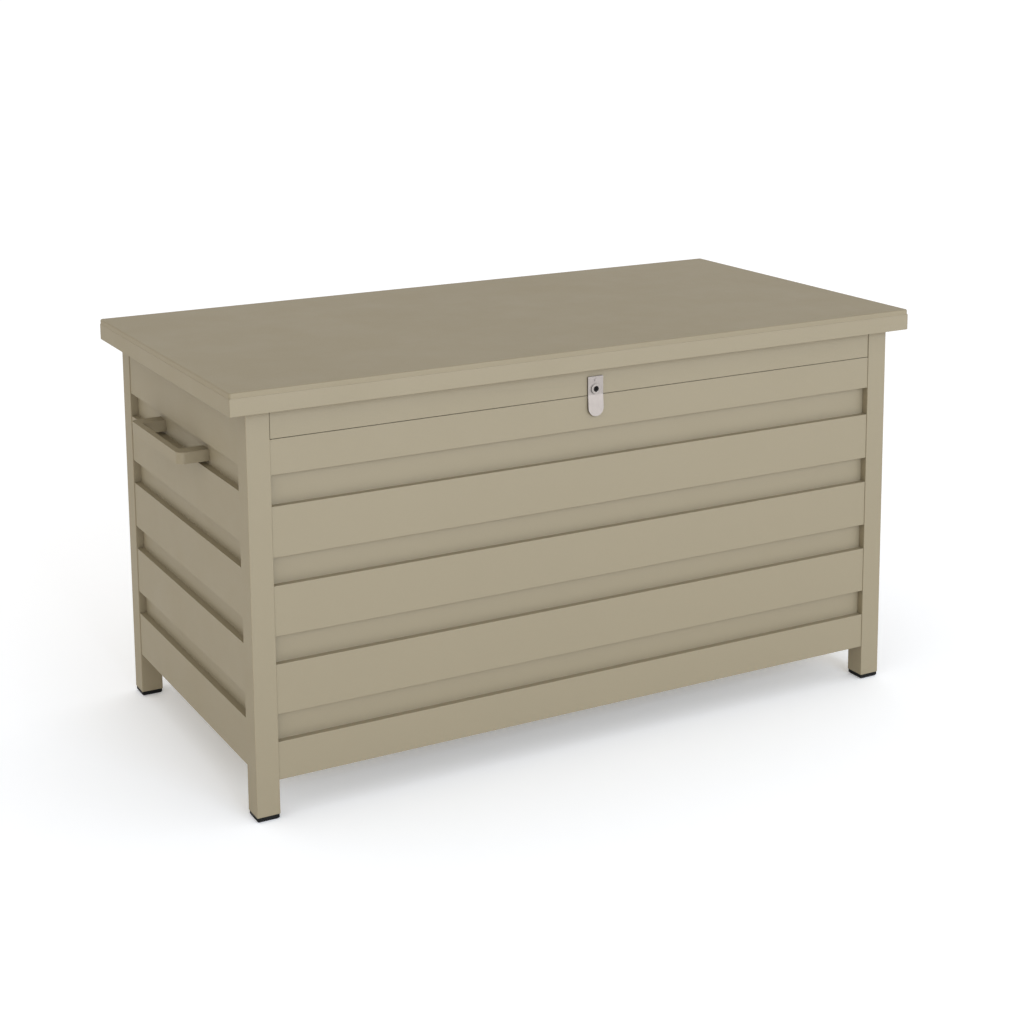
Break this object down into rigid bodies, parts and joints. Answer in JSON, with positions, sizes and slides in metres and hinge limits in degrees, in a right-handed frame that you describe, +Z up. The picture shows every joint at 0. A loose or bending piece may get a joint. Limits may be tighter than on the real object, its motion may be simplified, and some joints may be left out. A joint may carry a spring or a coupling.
{
  "type": "deck storage box",
  "caption": "Powder-coated aluminium garden storage box with plank walls on corner posts, an overhanging hinged lid, end handles, a cam lock and gas struts.",
  "frame": {"origin": "on the ground under the middle of the box, lid closed", "axes": "+X along the box's length to its right end as seen from the front, +Y from the lock side to the hinge side, +Z up"},
  "size_m": [1.347, 0.684, 0.718],
  "materials": {
    "powder_coat": "fine-textured satin powder coat",
    "foot_plastic": "matte",
    "bumper_rubber": "matte",
    "plated_steel": "satin",
    "satin_stainless": "satin",
    "lock_dark": "satin",
    "strut_black": "satin",
    "strut_chrome": "polished"
  },
  "bodies": {
    "carcass": {"post_front_left": "powder_coat", "post_front_right": "powder_coat", "post_rear_left": "powder_coat", "post_rear_right": "powder_coat", "foot_front_left": "foot_plastic", "foot_front_right": "foot_plastic", "foot_rear_left": "foot_plastic", "foot_rear_right": "foot_plastic", "front_plank_1": "powder_coat", "front_plank_2": "powder_coat", "front_plank_3": "powder_coat", "front_plank_4": "powder_coat", "front_plank_5": "powder_coat", "back_plank_1": "powder_coat", "back_plank_2": "powder_coat", "back_plank_3": "powder_coat", "back_plank_4": "powder_coat", "back_plank_5": "powder_coat", "left_plank_1": "powder_coat", "left_plank_2": "powder_coat", "left_plank_3": "powder_coat", "left_plank_4": "powder_coat", "left_plank_5": "powder_coat", "right_plank_1": "powder_coat", "right_plank_2": "powder_coat", "right_plank_3": "powder_coat", "right_plank_4": "powder_coat", "right_plank_5": "powder_coat", "handle_left": "powder_coat", "handle_right": "powder_coat", "rear_top_rail": "powder_coat", "floor_ledges": "powder_coat", "floor_beams": "powder_coat", "floor_panel": "powder_coat", "lid_bumpers": "bumper_rubber", "hinge_box_leaves": "plated_steel", "hinge_pins": "plated_steel", "strut_box_brackets": "plated_steel", "lock_keeper": "plated_steel", "box_screws": "plated_steel"},
    "lid": {"lid_panel": "powder_coat", "lid_rim_front": "powder_coat", "lid_rim_back": "powder_coat", "lid_rim_left": "powder_coat", "lid_rim_right": "powder_coat", "lid_braces": "powder_coat", "front_apron": "powder_coat", "hinge_lid_leaves": "plated_steel", "strut_lid_brackets": "plated_steel", "lid_screws": "plated_steel", "lock_plate": "satin_stainless", "lock_barrel": "satin_stainless"},
    "lock": {"lock_plug": "lock_dark", "lock_cam": "plated_steel"},
    "strut_cylinder_left": {"strut_cylinder_left": "strut_black"},
    "strut_rod_left": {"strut_rod_left": "strut_chrome"},
    "strut_cylinder_right": {"strut_cylinder_right": "strut_black"},
    "strut_rod_right": {"strut_rod_right": "strut_chrome"}
  },
  "joints": [
    {"name": "lid_hinge", "type": "hinge", "parent": "carcass", "child": "lid", "pos_m": [0, 0.3255, 0.6725], "axis": [-1, 0, 0], "range_deg": [0, 75]},
    {"name": "lock_turn", "type": "hinge", "parent": "lid", "child": "lock", "pos_m": [0, -0.3, 0.642], "axis": [0, -1, 0], "range_deg": [0, 90]},
    {"name": "strut_pivot_left", "type": "hinge", "parent": "carcass", "child": "strut_cylinder_left", "pos_m": [-0.602, 0.1055, 0.4925], "axis": [-1, 0, 0], "range_deg": [0, 5]},
    {"name": "strut_slide_left", "type": "slide", "parent": "strut_cylinder_left", "child": "strut_rod_left", "axis": [0, 0.5735, 0.8192], "range_m": [0, 0.098]},
    {"name": "strut_pivot_right", "type": "hinge", "parent": "carcass", "child": "strut_cylinder_right", "pos_m": [0.602, 0.1055, 0.4925], "axis": [-1, 0, 0], "range_deg": [0, 5]},
    {"name": "strut_slide_right", "type": "slide", "parent": "strut_cylinder_right", "child": "strut_rod_right", "axis": [0, 0.5735, 0.8192], "range_m": [0, 0.098]}
  ],
  "couplings": [
    {"joint": "strut_pivot_left", "follows": "lid_hinge", "ratio": 0.06402},
    {"joint": "strut_slide_left", "follows": "lid_hinge", "m_per_rad": 0.07444},
    {"joint": "strut_pivot_right", "follows": "lid_hinge", "ratio": 0.06402},
    {"joint": "strut_slide_right", "follows": "lid_hinge", "m_per_rad": 0.07444}
  ]
}
